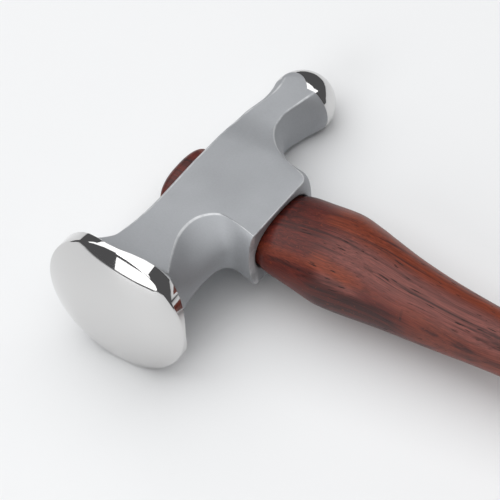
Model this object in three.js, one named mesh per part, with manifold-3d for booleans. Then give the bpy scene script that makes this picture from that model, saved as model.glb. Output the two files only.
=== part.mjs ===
// Chasing hammer: a one-piece steel head on a hardwood handle that two wedges hold, lying on its side.
// Millimetres. The hammer is drawn with x along the handle towards the grip, y along the head from the
// striking face to the ball, and z out of the upper cheek. It is then laid down on the bench, +Z up.

import * as THREE from 'three';
import { mergeVertices } from 'three/addons/utils/BufferGeometryUtils.js';
import Module from 'manifold-3d';

const wasm = await Module();
wasm.setup();

// Striking face: a shallow crown inside a rounded rim, whose widest circle is at y = 0
const faceRadius = 16.4;
const crownHeight = 3.47;
const edgeRound = 0.5;
const rimWidth = 0.5;
const rimCornerWidth = 2.8;

// Section of the body where the flare of the face begins
const flareSetback = 6;
const flareHalfWidth = 9.05;
const flareHalfThickness = 8.9;
const flareSideBulge = 1.35;

// Socket round the eye, at its mouth on the handle side
const eyeSetback = 33.7;
const socketReach = 16.8;
const socketHalfLength = 9.3;
const socketHalfThickness = 6.95;
const socketSideBulge = 2.5;

// Body between the ends: the back edge of the cheeks, and the two scoops on the handle side, at the
// cheeks' edge and half way between the cheeks
const backDepth = 5.3;
const backBulge = 2.5;
const backSpread = 7;
const faceScoopDepth = 3.5;
const faceScoopMiddleDepth = 10.8;
const ballScoopDepth = 1.75;
const ballScoopMiddleDepth = 2.5;
const ballNeckSetback = 53.5;
const ballNeckHalfThickness = 5.3;
const ballNeckBackBulge = 2.1;

// Ball end
const ballSetback = 65.3;
const ballRadius = 6.9;
const ballCheekHalfThickness = 5.7;

// Eye: an oval hole along x, narrowest at its waist
const eyeMouthHalfLength = 9.3;
const eyeMouthHalfThickness = 5.5;
const eyeWaistReach = 2;
const eyeWaistHalfLength = 7.6;
const eyeWaistHalfThickness = 4.1;
const eyeTopHalfLength = 8.3;
const eyeTopHalfThickness = 4.6;
const eyeTopLean = 1.5;

// Handle: half widths run along y, half depths along z, reaches along x from the middle of the head
const tenonProud = 2.9;
const tenonDomeHeight = 2.5;
const swellReach = 31;
const swellHalfWidth = 10.5;
const swellHalfDepth = 8.1;
const neckReach = 72;
const neckHalfWidth = 5.95;
const neckHalfDepth = 5.6;
const leanReach = 62;
const handleLean = 2.1;
const slenderReach = 116;
const slenderHalfWidth = 5.4;
const slenderHalfDepth = 5.2;
const gripReach = 194;
const gripHalfWidth = 14;
const gripHalfDepth = 11.6;
const buttReach = 229;

// Wedges, driven in from the top of the head: the wooden one along the eye, the steel one across it
const woodWedgeThickness = 2.6;
const woodWedgeTip = 0.9;
const woodWedgeDepth = 15;
const steelWedgeThickness = 2.1;
const steelWedgeTip = 0.7;
const steelWedgeWidth = 5.8;
const steelWedgeDepth = 8.4;

// Clearance between fitted pieces, and how far a cutter runs past what it cuts
const fitGap = 0.3;
const overrun = 4;

// Points of the outlines, as shares of the sizes that they run between
const faceNeckShares = [[1, 0], [0.49, 0.28], [0.09, 0.56], [0, 0.72]];
const faceWallShares = [
  [0.01, 0.83], [0.05, 0.92], [0.13, 1], [0.23, 1.06], [0.34, 1.09], [0.56, 1.08], [0.8, 1.04], [1, 1]];
const faceNeckMiddleShares = [[0.33, 0.25], [0, 0.49]];
const faceWallMiddleShares = [[0.06, 0.68], [0.2, 0.8], [0.42, 0.86], [0.69, 0.87]];
const ballWallShares = [[1, 0], [0.65, 0.08], [0.47, 0.126], [0.235, 0.243], [0.05, 0.412], [0, 0.6]];
const ballNeckShares = [[0.41, 0.777], [1, 1]];
const ballWallMiddleShares = [[0.72, 0.16], [0.51, 0.21], [0.29, 0.3], [0.14, 0.4], [0.04, 0.5], [0, 0.61]];
const ballNeckMiddleShares = [[0.08, 0.72], [0.4, 0.84], [0.78, 0.92]];
const backFaceShares = [[1, 0], [0.72, 0.04], [0.32, 0.13], [0.19, 0.26], [0.07, 0.46], [0, 0.7], [0, 1]];
const backBallShares = [
  [0, 0], [0.1, 0.15], [0.14, 0.29], [0.08, 0.42], [0.06, 0.53], [0.14, 0.6], [0.4, 0.66],
  [0.76, 0.72], [1.13, 0.79], [1.33, 0.87], [1.26, 0.94], [1, 1]];
const swellShares = [[0, 0, 0], [0.13, 0.42, 0.25], [0.5, 0.68, 0.62], [1, 1, 1]];
const neckShares = [
  [0.12, 0.13, 0.05], [0.22, 0.29, 0.15], [0.37, 0.51, 0.36],
  [0.51, 0.66, 0.52], [0.66, 0.79, 0.68], [1, 1, 1]];
const slenderShares = [[0.5, 0.72, 0.72], [1, 1, 1]];
const gripShares = [[0.42, 0.31, 0.31], [0.76, 0.8, 0.8], [1, 1, 1]];
const flareShares = [[0.2, 0.09, 0.27], [0.4, 0.22, 0.52], [0.6, 0.4, 0.73], [0.8, 0.65, 0.89]];
const cheekFlareEndShare = 0.85;

// How far the sides of the scoop and of the socket depart from a round arc, [along, amount]: steep beside
// the cheeks in the scoop, and full like half an oval at the mouth of the socket
const steepShares = [[0, 0], [0.2, 1], [0.8, 1], [1, 0]];
const fullShares = [[0, 0], [0.7, 0], [1, 1]];
const farFullShares = [[0, 1], [0.25, 0], [1, 0]];
const roundShares = [[0, 0], [1, 0]];
const throatShare = 0.5;
const cheekFlarePower = 1.9;
const cornerPower = 1.5;
const ovalPower = 2.35;
const buttPower = 2.5;
const crownPower = 2.7;
const faceScoopPower = 2;
const edgeTurn = Math.PI / 3;

// Number of steps round and along
const sideSteps = 10;
const cheekSteps = 8;
const crownSteps = 7;
const edgeSteps = 3;
const faceScoopSteps = 20;
const mouthSteps = 4;
const ballScoopSteps = 18;
const ballSteps = 8;
const ovalSteps = 32;
const domeSteps = 6;
const handleSteps = 44;
const buttSteps = 10;
const settleSteps = 12;

const edgeDepth = edgeRound * Math.sin(edgeTurn);
const crownRadius = faceRadius - edgeRound * (1 - Math.cos(edgeTurn));
const backReach = -(backDepth + backBulge);
const topReach = backReach - tenonProud;
const eyeTopSetback = eyeSetback + eyeTopLean;
const socketStart = eyeSetback - socketHalfLength;
const socketEnd = eyeSetback + socketHalfLength;
const ballCheekHalfWidth = Math.sqrt(ballRadius ** 2 - ballCheekHalfThickness ** 2);

const mix = (from, to, share) => from + (to - from) * share;
const ease = (share) => share * share * (3 - 2 * share);
const vector = (x, y, z) => new THREE.Vector3(x, y, z);

// Value at a share along a list of [share, value] pairs, eased between neighbours
function valueAt(list, share) {
  const next = Math.max(1, list.findIndex(([at]) => at >= share));
  const [fromShare, fromValue] = list[next - 1];
  const [toShare, toValue] = list[next];
  return mix(fromValue, toValue, ease((share - fromShare) / (toShare - fromShare)));
}

// A closed skin over loops that all have as many points, ending in a tip at each end
function skin(firstTip, loops, lastTip) {
  const count = loops[0].length;
  const points = [firstTip, ...loops.flat(), lastTip];
  const last = points.length - 1;
  const triangles = [];
  for (let i = 0; i < count; i++) {
    const j = (i + 1) % count;
    triangles.push(0, 1 + i, 1 + j);
    triangles.push(last, last - count + j, last - count + i);
    for (let row = 0; row < loops.length - 1; row++) {
      const a = 1 + row * count;
      const b = a + count;
      triangles.push(a + i, b + j, a + j);
      triangles.push(a + i, b + i, b + j);
    }
  }
  const geometry = new THREE.BufferGeometry();
  geometry.setAttribute('position', new THREE.Float32BufferAttribute(points.flatMap((p) => p.toArray()), 3));
  geometry.setIndex(triangles);
  return geometry;
}

// A closed geometry as a solid that can be joined and cut
function solid(geometry) {
  const merged = mergeVertices(geometry);
  const index = Array.from(merged.getIndex().array);
  const kept = [];
  for (let i = 0; i < index.length; i += 3) {
    const [a, b, c] = index.slice(i, i + 3);
    if (a !== b && b !== c && c !== a) {
      kept.push(a, b, c);
    }
  }
  const vertProperties = new Float32Array(merged.getAttribute('position').array);
  return new wasm.Manifold(new wasm.Mesh({ numProp: 3, vertProperties, triVerts: new Uint32Array(kept) }));
}

// Half thickness of the cheeks at a distance y behind the rim
function cheekHalfAt(y) {
  const flareEnd = mix(flareSetback, socketStart, cheekFlareEndShare);
  if (y < flareEnd) {
    const share = (flareEnd - y) / (flareEnd - flareSetback);
    return mix(socketHalfThickness, flareHalfThickness, share ** cheekFlarePower);
  }
  if (y < socketEnd) {
    return socketHalfThickness;
  }
  if (y < ballNeckSetback) {
    const share = (y - socketEnd) / (ballNeckSetback - socketEnd);
    return mix(socketHalfThickness, ballNeckHalfThickness, ease(share));
  }
  const share = Math.min(1, (y - ballNeckSetback) / (ballSetback - ballNeckSetback));
  return mix(ballNeckHalfThickness, ballCheekHalfThickness, ease(share));
}

// A point on a side that bulges from its edge to its middle line: share 1 is the upper cheek, -1 the lower
function sidePoint({ edge, middle, steep = 0, full = 0 }, half, share) {
  const bulge = edge.distanceTo(middle);
  if (bulge === 0) {
    return vector(edge.x, edge.y, half * share);
  }
  const radius = (half ** 2 + bulge ** 2) / (2 * bulge);
  const span = bulge > half ? Math.PI - Math.asin(half / radius) : Math.asin(half / radius);
  const quarter = (Math.PI / 2) * share;
  const arcOut = (Math.cos(span * share) - Math.cos(span)) / (1 - Math.cos(span));
  const steepOut = mix(arcOut, 1 - Math.abs(share) ** faceScoopPower, steep);
  const out = mix(steepOut, Math.cos(quarter), full);
  const steepZ = mix(radius * Math.sin(span * share), half * share, steep);
  const z = mix(steepZ, half * Math.sin(quarter), full);
  return vector(mix(edge.x, middle.x, out), mix(edge.y, middle.y, out), z);
}

// A loop round the head: down the back, along the lower cheek, up the handle side, back over the upper cheek
function headLoop(back, front) {
  const loop = [];
  const backHalf = cheekHalfAt(back.edge.y);
  const frontHalf = cheekHalfAt(front.edge.y);
  for (let i = 0; i < sideSteps; i++) {
    loop.push(sidePoint(back, backHalf, 1 - (2 * i) / sideSteps));
  }
  for (let i = 0; i < cheekSteps; i++) {
    const share = i / cheekSteps;
    const at = back.edge.clone().lerp(front.edge, share);
    loop.push(vector(at.x, at.y, -mix(backHalf, frontHalf, share)));
  }
  for (let i = 0; i < sideSteps; i++) {
    loop.push(sidePoint(front, frontHalf, (2 * i) / sideSteps - 1));
  }
  for (let i = 0; i < cheekSteps; i++) {
    const share = i / cheekSteps;
    const at = front.edge.clone().lerp(back.edge, share);
    loop.push(vector(at.x, at.y, mix(frontHalf, backHalf, share)));
  }
  return loop;
}

// Evenly spaced points of a smooth line in the plane half way between the cheeks
function smoothLine(points, steps) {
  const curve = new THREE.CatmullRomCurve3(points.map(([x, y]) => vector(x, y, 0)), false, 'centripetal');
  return curve.getSpacedPoints(steps);
}

// Back side of the body: its middle line stands straight out from its edge
function backStops(points, steps, bulges) {
  return smoothLine(points, steps).map((edge, i) => {
    const middle = vector(edge.x - valueAt(bulges, i / steps), edge.y, 0);
    return { edge, middle };
  });
}

// Handle side of the body, with how steep and how full it is at each stop
function frontStops(edgePoints, middlePoints, steps, steeps, fulls) {
  const middles = smoothLine(middlePoints, steps);
  return smoothLine(edgePoints, steps).map((edge, i) => {
    const share = i / steps;
    return { edge, middle: middles[i], steep: valueAt(steeps, share), full: valueAt(fulls, share) };
  });
}

// Outline points from shares: across from a line at one depth to another, along from one setback to another
function outlinePoints(shares, [fromDepth, toDepth], [fromSetback, toSetback]) {
  const point = ([across, along]) => [mix(fromDepth, toDepth, across), mix(fromSetback, toSetback, along)];
  return shares.map(point);
}

// From the flare of the face, round the scoop behind it, to the near corner of the socket's mouth
function faceSideLoops() {
  const setbacks = [flareSetback, socketStart];
  const edge = [
    ...outlinePoints(faceNeckShares, [faceScoopDepth, flareHalfWidth], setbacks),
    ...outlinePoints(faceWallShares, [faceScoopDepth, socketReach], setbacks),
  ];
  const flareMiddle = flareHalfWidth + flareSideBulge;
  const middle = [
    [flareMiddle, flareSetback],
    ...outlinePoints(faceNeckMiddleShares, [faceScoopMiddleDepth, flareMiddle], setbacks),
    ...outlinePoints(faceWallMiddleShares, [faceScoopMiddleDepth, socketReach], setbacks),
    [socketReach, socketStart - socketSideBulge],
  ];
  const rearSetbacks = [flareSetback, socketStart + backSpread];
  const rear = outlinePoints(backFaceShares, [-backDepth, -flareHalfWidth], rearSetbacks);
  const bulges = [[0, flareSideBulge], [throatShare, backBulge], [1, backBulge]];
  const back = backStops(rear, faceScoopSteps, bulges);
  const front = frontStops(edge, middle, faceScoopSteps, steepShares, fullShares);
  return front.map((stop, i) => headLoop(back[i], stop));
}

// Across the mouth of the socket, which is flat
function mouthLoops() {
  const loops = [];
  for (let i = 1; i < mouthSteps; i++) {
    const share = i / mouthSteps;
    const backY = mix(socketStart + backSpread, socketEnd - backSpread, share);
    const back = { edge: vector(-backDepth, backY, 0), middle: vector(backReach, backY, 0) };
    const corner = vector(socketReach, mix(socketStart, socketEnd, share), 0);
    loops.push(headLoop(back, { edge: corner, middle: corner }));
  }
  return loops;
}

// From the far corner of the mouth, round the scoop behind the ball, to the middle of the ball
function ballSideLoops() {
  const setbacks = [socketEnd, ballSetback];
  const edge = [
    ...outlinePoints(ballWallShares, [ballScoopDepth, socketReach], setbacks),
    ...outlinePoints(ballNeckShares, [ballScoopDepth, ballCheekHalfWidth], setbacks),
  ];
  const middle = [
    [socketReach, socketEnd + socketSideBulge],
    ...outlinePoints(ballWallMiddleShares, [ballScoopMiddleDepth, socketReach], setbacks),
    ...outlinePoints(ballNeckMiddleShares, [ballScoopMiddleDepth, ballRadius], setbacks),
    [ballRadius, ballSetback],
  ];
  const rearSetbacks = [socketEnd - backSpread, ballSetback];
  const rear = outlinePoints(backBallShares, [-backDepth, -ballCheekHalfWidth], rearSetbacks);
  const bulges = [[0, backBulge], [throatShare, ballNeckBackBulge], [1, ballRadius - ballCheekHalfWidth]];
  const back = backStops(rear, ballScoopSteps, bulges);
  const front = frontStops(edge, middle, ballScoopSteps, roundShares, farFullShares);
  return front.map((stop, i) => headLoop(back[i], stop));
}

// The far half of the ball, with the flats of the cheeks running out on it
function ballLoops() {
  const loops = [];
  for (let step = 1; step < ballSteps; step++) {
    const angle = (Math.PI / 2) * (step / ballSteps);
    const radius = ballRadius * Math.cos(angle);
    const y = ballSetback + ballRadius * Math.sin(angle);
    const half = Math.min(ballCheekHalfThickness, radius);
    const flat = Math.sqrt(Math.max(0, radius ** 2 - half ** 2));
    const sides = Math.asin(half / radius);
    const loop = [];
    for (let i = 0; i < sideSteps; i++) {
      const turn = sides * (1 - (2 * i) / sideSteps);
      loop.push(vector(-radius * Math.cos(turn), y, radius * Math.sin(turn)));
    }
    for (let i = 0; i < cheekSteps; i++) {
      loop.push(vector(mix(-flat, flat, i / cheekSteps), y, -half));
    }
    for (let i = 0; i < sideSteps; i++) {
      const turn = sides * ((2 * i) / sideSteps - 1);
      loop.push(vector(radius * Math.cos(turn), y, radius * Math.sin(turn)));
    }
    for (let i = 0; i < cheekSteps; i++) {
      loop.push(vector(mix(flat, -flat, i / cheekSteps), y, half));
    }
    loops.push(loop);
  }
  return loops;
}

// From the crown of the face, over the rounded rim, down the flare to the body
function faceLoops(bodyLoop) {
  const bearings = bodyLoop.map((p) => Math.atan2(p.z, p.x));
  const circle = (radius, y) => bearings.map((a) => vector(radius * Math.cos(a), y, radius * Math.sin(a)));
  const loops = [];
  for (let i = 1; i <= crownSteps; i++) {
    const share = i / crownSteps;
    loops.push(circle(crownRadius * share, -edgeDepth - crownHeight * (1 - share ** crownPower)));
  }
  for (let i = edgeSteps - 1; i >= 0; i--) {
    const turn = edgeTurn * (i / edgeSteps);
    loops.push(circle(faceRadius - edgeRound * (1 - Math.cos(turn)), -edgeRound * Math.sin(turn)));
  }
  const corners = bearings.map((a) => Math.abs(Math.sin(2 * a)) ** cornerPower);
  const rim = circle(faceRadius, 0);
  rim.forEach((p, i) => p.setY(mix(rimWidth, rimCornerWidth, corners[i])));
  loops.push(rim);
  for (const [along, hollow, corner] of flareShares.toReversed()) {
    loops.push(bodyLoop.map((p, i) => {
      const outward = mix(hollow, corner, corners[i]);
      return vector(mix(p.x, rim[i].x, outward), mix(p.y, rim[i].y, along), mix(p.z, rim[i].z, outward));
    }));
  }
  return loops;
}

// An oval across the handle at a distance x along it
function oval(x, halfWidth, halfDepth, middle) {
  const loop = [];
  for (let i = 0; i < ovalSteps; i++) {
    const angle = (2 * Math.PI * i) / ovalSteps;
    const across = Math.sign(Math.cos(angle)) * Math.abs(Math.cos(angle)) ** (2 / ovalPower);
    const through = Math.sign(Math.sin(angle)) * Math.abs(Math.sin(angle)) ** (2 / ovalPower);
    loop.push(vector(x, middle + halfWidth * across, -halfDepth * through));
  }
  return loop;
}

function eyeCutter() {
  const start = backReach - overrun;
  const end = socketReach + overrun;
  const loops = [
    oval(start, eyeTopHalfLength, eyeTopHalfThickness, eyeTopSetback),
    oval(backReach, eyeTopHalfLength, eyeTopHalfThickness, eyeTopSetback),
    oval(eyeWaistReach, eyeWaistHalfLength, eyeWaistHalfThickness, eyeSetback),
    oval(socketReach, eyeMouthHalfLength, eyeMouthHalfThickness, eyeSetback),
    oval(end, eyeMouthHalfLength, eyeMouthHalfThickness, eyeSetback),
  ];
  return solid(skin(vector(start, eyeTopSetback, 0), loops, vector(end, eyeSetback, 0)));
}

function headSolid() {
  const body = [...faceSideLoops(), ...mouthLoops(), ...ballSideLoops()];
  const loops = [...faceLoops(body[0]), ...body, ...ballLoops()];
  const faceTip = vector(0, -edgeDepth - crownHeight, 0);
  const ballTip = vector(0, ballSetback + ballRadius, 0);
  return solid(skin(faceTip, loops, ballTip)).subtract(eyeCutter());
}

// The end of the tenon that stands out of the head, domed
function domeOvals() {
  const loops = [];
  for (let i = 1; i <= domeSteps; i++) {
    const turn = (Math.PI / 2) * (i / domeSteps);
    const x = topReach + tenonDomeHeight * (1 - Math.cos(turn));
    const share = Math.sin(turn);
    const halfLength = (eyeTopHalfLength - fitGap) * share;
    const halfThickness = (eyeTopHalfThickness - fitGap) * share;
    loops.push(oval(x, halfLength, halfThickness, eyeTopSetback));
  }
  return loops;
}

// Sections from the mouth of the eye to the thickest part of the grip, each [reach, half width, half depth]
function handleSections() {
  const mouth = [socketReach, eyeMouthHalfLength - fitGap, eyeMouthHalfThickness - fitGap];
  const swell = [swellReach, swellHalfWidth, swellHalfDepth];
  const neck = [neckReach, neckHalfWidth, neckHalfDepth];
  const slender = [slenderReach, slenderHalfWidth, slenderHalfDepth];
  const grip = [gripReach, gripHalfWidth, gripHalfDepth];
  const between = (from, to) => (shares) => vector(...shares.map((share, i) => mix(from[i], to[i], share)));
  return [
    ...swellShares.map(between(mouth, swell)),
    ...neckShares.map(between(swell, neck)),
    ...slenderShares.map(between(neck, slender)),
    ...gripShares.map(between(slender, grip)),
  ];
}

// How far the middle of the handle leans towards the face
function leanAt(x) {
  return handleLean * ease(Math.min(1, (x - socketReach) / (leanReach - socketReach)));
}

function handleOvals() {
  const curve = new THREE.CatmullRomCurve3(handleSections(), false, 'centripetal');
  const loops = [];
  for (let i = 0; i <= handleSteps; i++) {
    const section = curve.getPoint(i / handleSteps);
    loops.push(oval(section.x, section.y, section.z, eyeSetback - leanAt(section.x)));
  }
  return loops;
}

function buttOvals() {
  const loops = [];
  for (let i = 1; i < buttSteps; i++) {
    const turn = (Math.PI / 2) * (i / buttSteps);
    const x = mix(gripReach, buttReach, Math.sin(turn) ** (2 / buttPower));
    const share = Math.cos(turn) ** (2 / buttPower);
    loops.push(oval(x, gripHalfWidth * share, gripHalfDepth * share, eyeSetback - handleLean));
  }
  return loops;
}

// The handle before it is sawn for the wedges
function wholeHandle() {
  const waist = oval(eyeWaistReach, eyeWaistHalfLength - fitGap, eyeWaistHalfThickness - fitGap, eyeSetback);
  const loops = [...domeOvals(), waist, ...handleOvals(), ...buttOvals()];
  const top = vector(topReach, eyeTopSetback, 0);
  const butt = vector(buttReach, eyeSetback - handleLean, 0);
  return solid(skin(top, loops, butt));
}

// A tapering blank in the tenon's end, its half sizes along y and z given for the top and for the tip
function wedgeBlank(tipReach, topHalf, tipHalf) {
  const rectangle = (x, [halfY, halfZ]) => [
    vector(x, eyeTopSetback + halfY, halfZ), vector(x, eyeTopSetback + halfY, -halfZ),
    vector(x, eyeTopSetback - halfY, -halfZ), vector(x, eyeTopSetback - halfY, halfZ)];
  const start = topReach - overrun;
  const loops = [rectangle(start, topHalf), rectangle(topReach, topHalf), rectangle(tipReach, tipHalf)];
  return solid(skin(vector(start, eyeTopSetback, 0), loops, vector(tipReach, eyeTopSetback, 0)));
}

function woodWedgeBlank(gap) {
  const width = eyeTopHalfLength + overrun;
  const tipReach = topReach + woodWedgeDepth + gap;
  return wedgeBlank(tipReach, [width, woodWedgeThickness / 2 + gap], [width, woodWedgeTip / 2 + gap]);
}

function steelWedgeBlank(gap) {
  const width = steelWedgeWidth / 2 + gap;
  const tipReach = topReach + steelWedgeDepth + gap;
  return wedgeBlank(tipReach, [steelWedgeThickness / 2 + gap, width], [steelWedgeTip / 2 + gap, width]);
}

function buildPieces() {
  const whole = wholeHandle();
  const kerf = woodWedgeBlank(fitGap);
  const slot = steelWedgeBlank(fitGap);
  return {
    head: headSolid(),
    handle: whole.subtract(kerf).subtract(slot),
    wooden_wedge: woodWedgeBlank(0).intersect(whole).subtract(slot),
    steel_wedge: steelWedgeBlank(0).intersect(whole),
  };
}

const materials = {
  head: new THREE.MeshStandardMaterial({ color: 0xa6a6aa, roughness: 0.3, metalness: 1 }),
  handle: new THREE.MeshStandardMaterial({ color: 0x6e403b, roughness: 0.5, metalness: 0 }),
  wooden_wedge: new THREE.MeshStandardMaterial({ color: 0xb48a62, roughness: 0.6, metalness: 0 }),
  steel_wedge: new THREE.MeshStandardMaterial({ color: 0x7f8084, roughness: 0.45, metalness: 1 }),
};

function meshOf(name, body) {
  const raw = body.getMesh();
  const geometry = new THREE.BufferGeometry();
  geometry.setAttribute('position', new THREE.BufferAttribute(raw.vertProperties, 3));
  geometry.setIndex(new THREE.BufferAttribute(raw.triVerts, 1));
  const mesh = new THREE.Mesh(geometry, materials[name]);
  mesh.name = name;
  return mesh;
}

function verticesOf(meshes) {
  const points = [];
  for (const { geometry } of meshes) {
    const position = geometry.getAttribute('position');
    for (let i = 0; i < position.count; i++) {
      points.push(vector(0, 0, 0).fromBufferAttribute(position, i));
    }
  }
  return points;
}

// The bench's upward direction when the hammer lies on the rim of its face, its ball and its grip
function restDirection(points) {
  const groups = [
    points.filter((p) => p.y < flareSetback && p.x < faceRadius),
    points.filter((p) => p.y > mix(socketEnd, ballSetback, throatShare)),
    points.filter((p) => p.x > neckReach),
  ];
  const up = vector(0, 0, 1);
  for (let i = 0; i < settleSteps; i++) {
    const [rim, ball, grip] = groups.map((group) => group.reduce((a, b) => (a.dot(up) < b.dot(up) ? a : b)));
    up.crossVectors(grip.clone().sub(rim), ball.clone().sub(rim)).normalize();
  }
  return up;
}

// Lays the pieces down with the handle along X, the middle of their box over the origin and the lowest at 0
function layDown(meshes) {
  const up = restDirection(verticesOf(meshes));
  const across = vector(0, 0, 0).crossVectors(up, vector(1, 0, 0)).normalize();
  const forward = vector(0, 0, 0).crossVectors(across, up);
  const turn = new THREE.Matrix4().makeBasis(forward, across, up).transpose();
  meshes.forEach((mesh) => mesh.geometry.applyMatrix4(turn));
  const box = new THREE.Box3().setFromPoints(verticesOf(meshes));
  const middle = box.getCenter(vector(0, 0, 0));
  meshes.forEach((mesh) => {
    mesh.geometry.translate(-middle.x, -middle.y, -box.min.z);
    mesh.geometry.computeVertexNormals();
  });
}

const meshes = Object.entries(buildPieces()).map(([name, body]) => meshOf(name, body));
layDown(meshes);

const hammer = new THREE.Group();
hammer.name = 'chasing_hammer';
hammer.add(...meshes);

export default hammer;
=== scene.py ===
import math

import bmesh
import bpy
import numpy as np
from mathutils import Euler, Matrix, Vector


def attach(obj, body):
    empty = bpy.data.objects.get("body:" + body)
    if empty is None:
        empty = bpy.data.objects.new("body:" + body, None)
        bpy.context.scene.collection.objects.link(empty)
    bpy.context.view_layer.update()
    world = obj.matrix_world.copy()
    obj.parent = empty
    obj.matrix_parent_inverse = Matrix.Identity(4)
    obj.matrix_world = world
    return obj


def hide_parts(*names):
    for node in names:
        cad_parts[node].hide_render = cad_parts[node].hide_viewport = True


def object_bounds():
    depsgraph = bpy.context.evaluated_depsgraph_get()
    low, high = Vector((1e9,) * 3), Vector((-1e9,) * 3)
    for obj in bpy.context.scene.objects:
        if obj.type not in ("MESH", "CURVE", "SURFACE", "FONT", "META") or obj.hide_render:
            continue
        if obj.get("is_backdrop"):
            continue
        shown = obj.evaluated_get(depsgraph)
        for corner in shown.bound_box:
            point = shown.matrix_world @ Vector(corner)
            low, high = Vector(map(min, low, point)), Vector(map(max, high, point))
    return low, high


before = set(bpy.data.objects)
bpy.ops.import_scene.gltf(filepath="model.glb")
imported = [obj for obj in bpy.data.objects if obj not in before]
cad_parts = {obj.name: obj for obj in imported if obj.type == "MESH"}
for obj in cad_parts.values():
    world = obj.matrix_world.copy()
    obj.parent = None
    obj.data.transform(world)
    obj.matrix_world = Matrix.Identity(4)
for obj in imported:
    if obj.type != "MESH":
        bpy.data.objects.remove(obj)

# Millimetres. The hammer is drawn with x along the handle towards the grip, y along the head from the
# striking face to the ball, and z out of the upper cheek, and is then laid down where the solids lie.
MM = 0.001
REST_TURN = Euler((math.radians(-8.86002), math.radians(-0.11702), 0))
REST_PLACE = Vector((-106.3047, -33.4202, 16.2813))

# Striking face: a shallow crown inside a rounded rim, whose widest circle is at y = 0
FACE_RADIUS = 16.4
CROWN_HEIGHT = 3.47
CROWN_POWER = 2.7
EDGE_ROUND = 0.5
EDGE_TURN = math.pi / 3
RIM_WIDTH = 0.5
RIM_CORNER_WIDTH = 2.8

# Section of the body where the flare of the face begins
FLARE_SETBACK = 6
FLARE_HALF_WIDTH = 9.05
FLARE_HALF_THICKNESS = 8.9
FLARE_SIDE_BULGE = 1.35

# Socket round the eye, at its mouth on the handle side
EYE_SETBACK = 33.7
SOCKET_REACH = 16.8
SOCKET_HALF_LENGTH = 9.3
SOCKET_HALF_THICKNESS = 6.95
SOCKET_SIDE_BULGE = 2.5

# Back edge of the cheeks, the two scoops at the cheeks' edge and half way between the cheeks, and the neck
# where the cheeks come closest before the ball
BACK_DEPTH = 5.3
BACK_BULGE = 2.5
BACK_SPREAD = 7
FACE_SCOOP_DEPTH = 3.5
FACE_SCOOP_MIDDLE_DEPTH = 10.8
FACE_SCOOP_POWER = 2.0
BALL_SCOOP_DEPTH = 1.75
BALL_SCOOP_MIDDLE_DEPTH = 2.5
BALL_NECK_SETBACK = 53.5
BALL_NECK_HALF_THICKNESS = 5.3
BALL_NECK_BACK_BULGE = 2.1

# Ball end
BALL_SETBACK = 65.3
BALL_RADIUS = 6.9
BALL_CHEEK_HALF_THICKNESS = 5.7
BALL_FLAT_ROUND = 0.55

# Eye: an oval hole along x, each section with its reach, half length along the head and half thickness
EYE_MOUTH = (SOCKET_REACH, 9.3, 5.5)
EYE_WAIST = (2, 7.6, 4.1)
EYE_TOP_HALF_LENGTH = 8.3
EYE_TOP_HALF_THICKNESS = 4.6
EYE_TOP_LEAN = 1.5
EYE_ROUND = 0.5

# Handle: each section with its reach, half width and half depth
TENON_PROUD = 2.9
TENON_DOME_HEIGHT = 2.5
SWELL = (31, 10.5, 8.1)
NECK = (72, 5.95, 5.6)
SLENDER = (116, 5.4, 5.2)
GRIP = (194, 14, 11.6)
LEAN_REACH = 62
HANDLE_LEAN = 2.1
BUTT_REACH = 229

# Wedges
WOOD_WEDGE_THICKNESS = 2.6
WOOD_WEDGE_TIP = 0.9
WOOD_WEDGE_DEPTH = 15
STEEL_WEDGE_THICKNESS = 2.1
STEEL_WEDGE_TIP = 0.7
STEEL_WEDGE_WIDTH = 5.8
STEEL_WEDGE_DEPTH = 8.4

FIT_GAP = 0.3
OVERRUN = 4
MERGE_DISTANCE = 0.001
CORNER_ROUND = 0.34
FAR_MOUTH_ROUND = 1.5

# Points of the outlines, as shares of the sizes that they run between
FACE_NECK_SHARES = [(1, 0), (0.49, 0.28), (0.09, 0.56), (0, 0.72)]
FACE_WALL_SHARES = [
    (0.01, 0.83), (0.05, 0.92), (0.13, 1), (0.23, 1.06), (0.34, 1.09), (0.56, 1.08), (0.8, 1.04), (1, 1)]
FACE_NECK_MIDDLE_SHARES = [(0.33, 0.25), (0, 0.49)]
STEEP_SHARES = [(0, 0), (0.2, 1), (0.8, 1), (1, 0)]
FULL_SHARES = [(0, 0), (0.7, 0), (1, 1)]
FAR_FULL_SHARES = [(0, 1), (0.25, 0), (1, 0)]
FACE_WALL_MIDDLE_SHARES = [(0.06, 0.68), (0.2, 0.8), (0.42, 0.86), (0.69, 0.87)]
BALL_WALL_SHARES = [(1, 0), (0.65, 0.08), (0.47, 0.126), (0.235, 0.243), (0.05, 0.412), (0, 0.6)]
BALL_NECK_SHARES = [(0.41, 0.777), (1, 1)]
BALL_WALL_MIDDLE_SHARES = [(0.72, 0.16), (0.51, 0.21), (0.29, 0.3), (0.14, 0.4), (0.04, 0.5), (0, 0.61)]
BALL_NECK_MIDDLE_SHARES = [(0.08, 0.72), (0.4, 0.84), (0.78, 0.92)]
BACK_FACE_SHARES = [(1, 0), (0.72, 0.04), (0.32, 0.13), (0.19, 0.26), (0.07, 0.46), (0, 0.7), (0, 1)]
BACK_BALL_SHARES = [
    (0, 0), (0.1, 0.15), (0.14, 0.29), (0.08, 0.42), (0.06, 0.53), (0.14, 0.6), (0.4, 0.66),
    (0.76, 0.72), (1.13, 0.79), (1.33, 0.87), (1.26, 0.94), (1, 1)]
SWELL_SHARES = [(0, 0, 0), (0.13, 0.42, 0.25), (0.5, 0.68, 0.62), (1, 1, 1)]
NECK_SHARES = [
    (0.12, 0.13, 0.05), (0.22, 0.29, 0.15), (0.37, 0.51, 0.36), (0.51, 0.66, 0.52),
    (0.66, 0.79, 0.68), (1, 1, 1)]
SLENDER_SHARES = [(0.5, 0.72, 0.72), (1, 1, 1)]
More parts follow.
